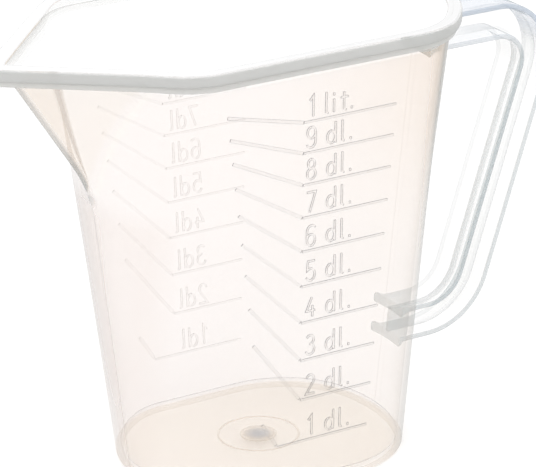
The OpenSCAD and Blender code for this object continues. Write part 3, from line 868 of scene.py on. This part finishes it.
def handlePiece(name, out, thick, wide, roundness, replaced, finish, blue=1.0, shown=1.2):
    # a strap or the web, swept along the handle's line from the cup and back to it
    isStrap = wide == handle["width"]
    path = handlePath(out)
    count = len(path)
    lengths = [0.0]
    for a, b in zip(path, path[1:]):
        lengths.append(lengths[-1] + (b - a).length)
    # the section's rounded corners, then the points of its outline
    section = []
    for cx, cy, start in ((1, 1, 0), (-1, 1, 90), (-1, -1, 180), (1, -1, 270)):
        for a in (0, 30, 60, 90):
            turn = math.radians(start + a)
            section.append((cx * (wide / 2 - roundness) + roundness * math.cos(turn),
                            cy * (thick / 2 - roundness) + roundness * math.sin(turn)))
    loop = []
    for a, b in zip(section, section[1:] + section[:1]):
        steps = 1
        if abs(a[0] - b[0]) > handle["wideOver"]:
            steps = handle["wideSteps"]
        elif abs(a[1] - b[1]) > handle["tallOver"]:
            steps = handle["tallSteps"]
        for s in range(steps):
            loop.append((a[0] + (b[0] - a[0]) * s / steps, a[1] + (b[1] - a[1]) * s / steps))

    def place(i, j):
        across, off = loop[i]
        near = min(lengths[j], lengths[-1] - lengths[j])
        flare = handle["flare"] * max(0.0, 1 - near / handle["flareRun"]) ** 2 if isStrap else 0.0
        across *= 1 + flare / (wide / 2)
        off *= 1 + flare * handle["flareRiseShare"] / (thick / 2)
        back = path[max(j - 1, 0)] if j else path[0] * 2 - path[1]
        ahead = path[min(j + 1, count - 1)] if j < count - 1 else path[-1] * 2 - path[-2]
        way = (ahead - back).normalized()
        if j == 0:
            way = Vector((1, 0))
        if j == count - 1:
            way = Vector((-1, 0))
        side = Vector((-way.y, way.x))
        point = path[j] + side * off
        if j in (0, count - 1):
            point.x = handleFace(across, point.y) + handle["rootGap"]
        return point.x, across, point.y

    def paintStrap(i, j):
        point = path[j]
        across, off = loop[i]
        near = min(lengths[j], lengths[-1] - lengths[j])
        root = handlePaint["root"] * bell(near, handlePaint["rootRun"])
        upper = clamped((point.y - handle["top"] + handlePaint["upperRun"]) / handlePaint["upperRun"])
        if isStrap:
            rail = handlePaint["strapRail"] if abs(across) > wide / 2 - handlePaint["railWidth"] else 0.0
            bend = handlePaint["bend"] * bell(j - handlePaint["bendAt"], handlePaint["bendSpread"])
        else:
            atRail = off > thick / 2 - handlePaint["webTop"] or off < handlePaint["webFoot"] - thick / 2
            rail, bend = handlePaint["webRail"] if atRail else 0.0, 0.0
        rail *= 1 - handlePaint["upperRailLess"] * upper
        return {"warm": blue * upper, "thick": max(root, rail, bend),
                "shown": 1.0 + (shown * upper if isStrap else 0.0),
                "inside": upper * clamped((handlePaint["mouthX"] - point.x) / handlePaint["mouthRun"])}

    bm = gridPiece(len(loop), count - 1, place, True, False, paintStrap)
    if isStrap:
        # the ends follow the wall's curve in strips
        tree = KDTree(len(bm.verts))
        bm.verts.ensure_lookup_table()
        for v in bm.verts:
            tree.insert(v.co, v.index)
        tree.balance()
        mirror = [min(range(len(loop)), key=lambda k: abs(loop[k][0] - a) + abs(loop[k][1] + b))
                  for a, b in loop]
        for j in (0, count - 1):
            found = [bm.verts[tree.find(Vector(place(i, j)) * mm)[1]] for i in range(len(loop))]
            for i in range(len(loop)):
                n = (i + 1) % len(loop)
                if loop[i][1] > 0 and loop[n][1] > 0:
                    corners = (found[i], found[n], found[mirror[n]], found[mirror[i]])
                    bm.faces.new(list(dict.fromkeys(corners)))
    else:
        bmesh.ops.holes_fill(bm, edges=[e for e in bm.edges if len(e.link_faces) == 1])
    finishPiece(name, bm, finish, replaced)


handlePiece("handleInnerStrap", 0.0, handle["thick"], handle["width"], handle["edgeRound"],
            ("handle_inner_strap",), innerPlastic, blue=0.6)
handlePiece("handleOuterStrap", handle["gap"], handle["thick"], handle["width"], handle["edgeRound"],
            ("handle_outer_strap",), handlePlastic, shown=2.2)
handlePiece("handleWeb", handle["gap"] / 2, handle["gap"] - handle["thick"] - 2 * handle["rootGap"],
            handle["web"], handle["webRound"], ("handle_web",), handlePlastic, blue=0.2)

# the raised marks keep their CAD shapes and get their finish
for side in ("front", "back"):
    for kind in ("level_lines", "pour_lines", "numerals"):
        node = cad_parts["%s_%s" % (side, kind)]
        for slotItem in node.material_slots:
            slotItem.material = levelPlastic if kind == "level_lines" else markPlastic
        for f in node.data.polygons:
            f.use_smooth = False
print("raised marks finished")

# studio floor, surroundings and light
stage = {
    "floorTone": 0.9, "floorRoughness": 0.9, "lift": 0.25, "skyForLight": 0.55, "size": 3.0,
    "aim": (0, 0, 0.08),
    "lamps": (  # name, place in metres, size and power
        ("keyLamp", (-0.9, -0.9, 1.3), 0.9, 9.0),
        ("fillLamp", (1.0, -0.7, 0.9), 0.9, 4.0),
        ("backLamp", (0.2, 1.2, 1.1), 1.0, 5.0)),
    "crossings": 48,  # see-through surfaces that one look may cross
}
floorMesh = bpy.data.meshes.new("studioFloor")
bm = bmesh.new()
bmesh.ops.create_grid(bm, x_segments=1, y_segments=1, size=stage["size"])
bm.to_mesh(floorMesh)
bm.free()
studioFloor = bpy.data.objects.new("studioFloor", floorMesh)
bpy.context.scene.collection.objects.link(studioFloor)
paper = bpy.data.materials.new("whitePaper")
paper.use_nodes = True
nodes, links = paper.node_tree.nodes, paper.node_tree.links
surface = nodes["Principled BSDF"]
surface.inputs["Base Color"].default_value = (*[stage["floorTone"]] * 3, 1)
surface.inputs["Roughness"].default_value = stage["floorRoughness"]
# the floor is lifted to white where the camera sees it, without lighting the jug
path = nodes.new("ShaderNodeLightPath")
glow = nodes.new("ShaderNodeMath")
glow.operation = "MULTIPLY"
glow.inputs[1].default_value = stage["lift"]
links.new(path.outputs["Is Camera Ray"], glow.inputs[0])
surface.inputs["Emission Color"].default_value = (1, 1, 1, 1)
links.new(glow.outputs[0], surface.inputs["Emission Strength"])
floorMesh.materials.append(paper)

world = bpy.data.worlds.new("softStudio")
bpy.context.scene.world = world
world.use_nodes = True
nodes, links = world.node_tree.nodes, world.node_tree.links
sky = nodes["Background"]
sky.inputs["Color"].default_value = (1, 1, 1, 1)
# pure white where it is seen or mirrored, dimmer as a light
path = nodes.new("ShaderNodeLightPath")
seen = path.outputs["Is Camera Ray"]
for ray in ("Is Glossy Ray", "Is Transmission Ray"):
    either = nodes.new("ShaderNodeMath")
    either.operation = "MAXIMUM"
    links.new(seen, either.inputs[0])
    links.new(path.outputs[ray], either.inputs[1])
    seen = either.outputs[0]
strength = nodes.new("ShaderNodeMapRange")
strength.inputs["To Min"].default_value = stage["skyForLight"]
strength.inputs["To Max"].default_value = 1.0
links.new(seen, strength.inputs["Value"])
links.new(strength.outputs["Result"], sky.inputs["Strength"])

for name, place, size, power in stage["lamps"]:
    data = bpy.data.lights.new(name, "AREA")
    data.shape = "SQUARE"
    data.size = size
    data.energy = power
    lamp = bpy.data.objects.new(name, data)
    lamp.location = place
    lamp.rotation_euler = (Vector(stage["aim"]) - Vector(place)).to_track_quat("-Z", "Y").to_euler()
    bpy.context.scene.collection.objects.link(lamp)

# camera at the photograph's angle; pixel values belong to a frame 536 wide and 467 high
view = {
    "turn": -29.391, "rise": 21.01, "roll": 1.16, "distance": 1032.796, "focus": 3144.053,
    "centre": (254.729, 213.672), "frame": (536, 467), "aim": (0.301, 0.0, 82.027),
    "sensor": 36.0, "nearest": 0.01,
}
turn, rise, roll = (math.radians(view[k]) for k in ("turn", "rise", "roll"))
away = Vector((math.sin(turn) * math.cos(rise), -math.cos(turn) * math.cos(rise), math.sin(rise)))
eye = Vector(view["aim"]) + away * view["distance"]
right = (-away).cross(Vector((0, 0, 1))).normalized()
down = (-away).cross(right)
imageX = right * math.cos(roll) + down * math.sin(roll)
imageY = down * math.cos(roll) - right * math.sin(roll)
cameraData = bpy.data.cameras.new("photoCamera")
cameraData.sensor_fit = "HORIZONTAL"
cameraData.sensor_width = view["sensor"]
cameraData.lens = view["focus"] / view["frame"][0] * cameraData.sensor_width
cameraData.shift_x = (view["frame"][0] / 2 - view["centre"][0]) / view["frame"][0]
cameraData.shift_y = (view["centre"][1] - view["frame"][1] / 2) / view["frame"][0]
cameraData.clip_start = view["nearest"]
photoCamera = bpy.data.objects.new("photoCamera", cameraData)
bpy.context.scene.collection.objects.link(photoCamera)
turnMatrix = Matrix((imageX, -imageY, away)).transposed().to_4x4()
photoCamera.matrix_world = Matrix.Translation(eye * mm) @ turnMatrix
bpy.context.scene.camera = photoCamera
bpy.context.scene.view_settings.view_transform = "Standard"
bpy.context.scene.cycles.transparent_max_bounces = stage["crossings"]

print("stage, light and camera done")
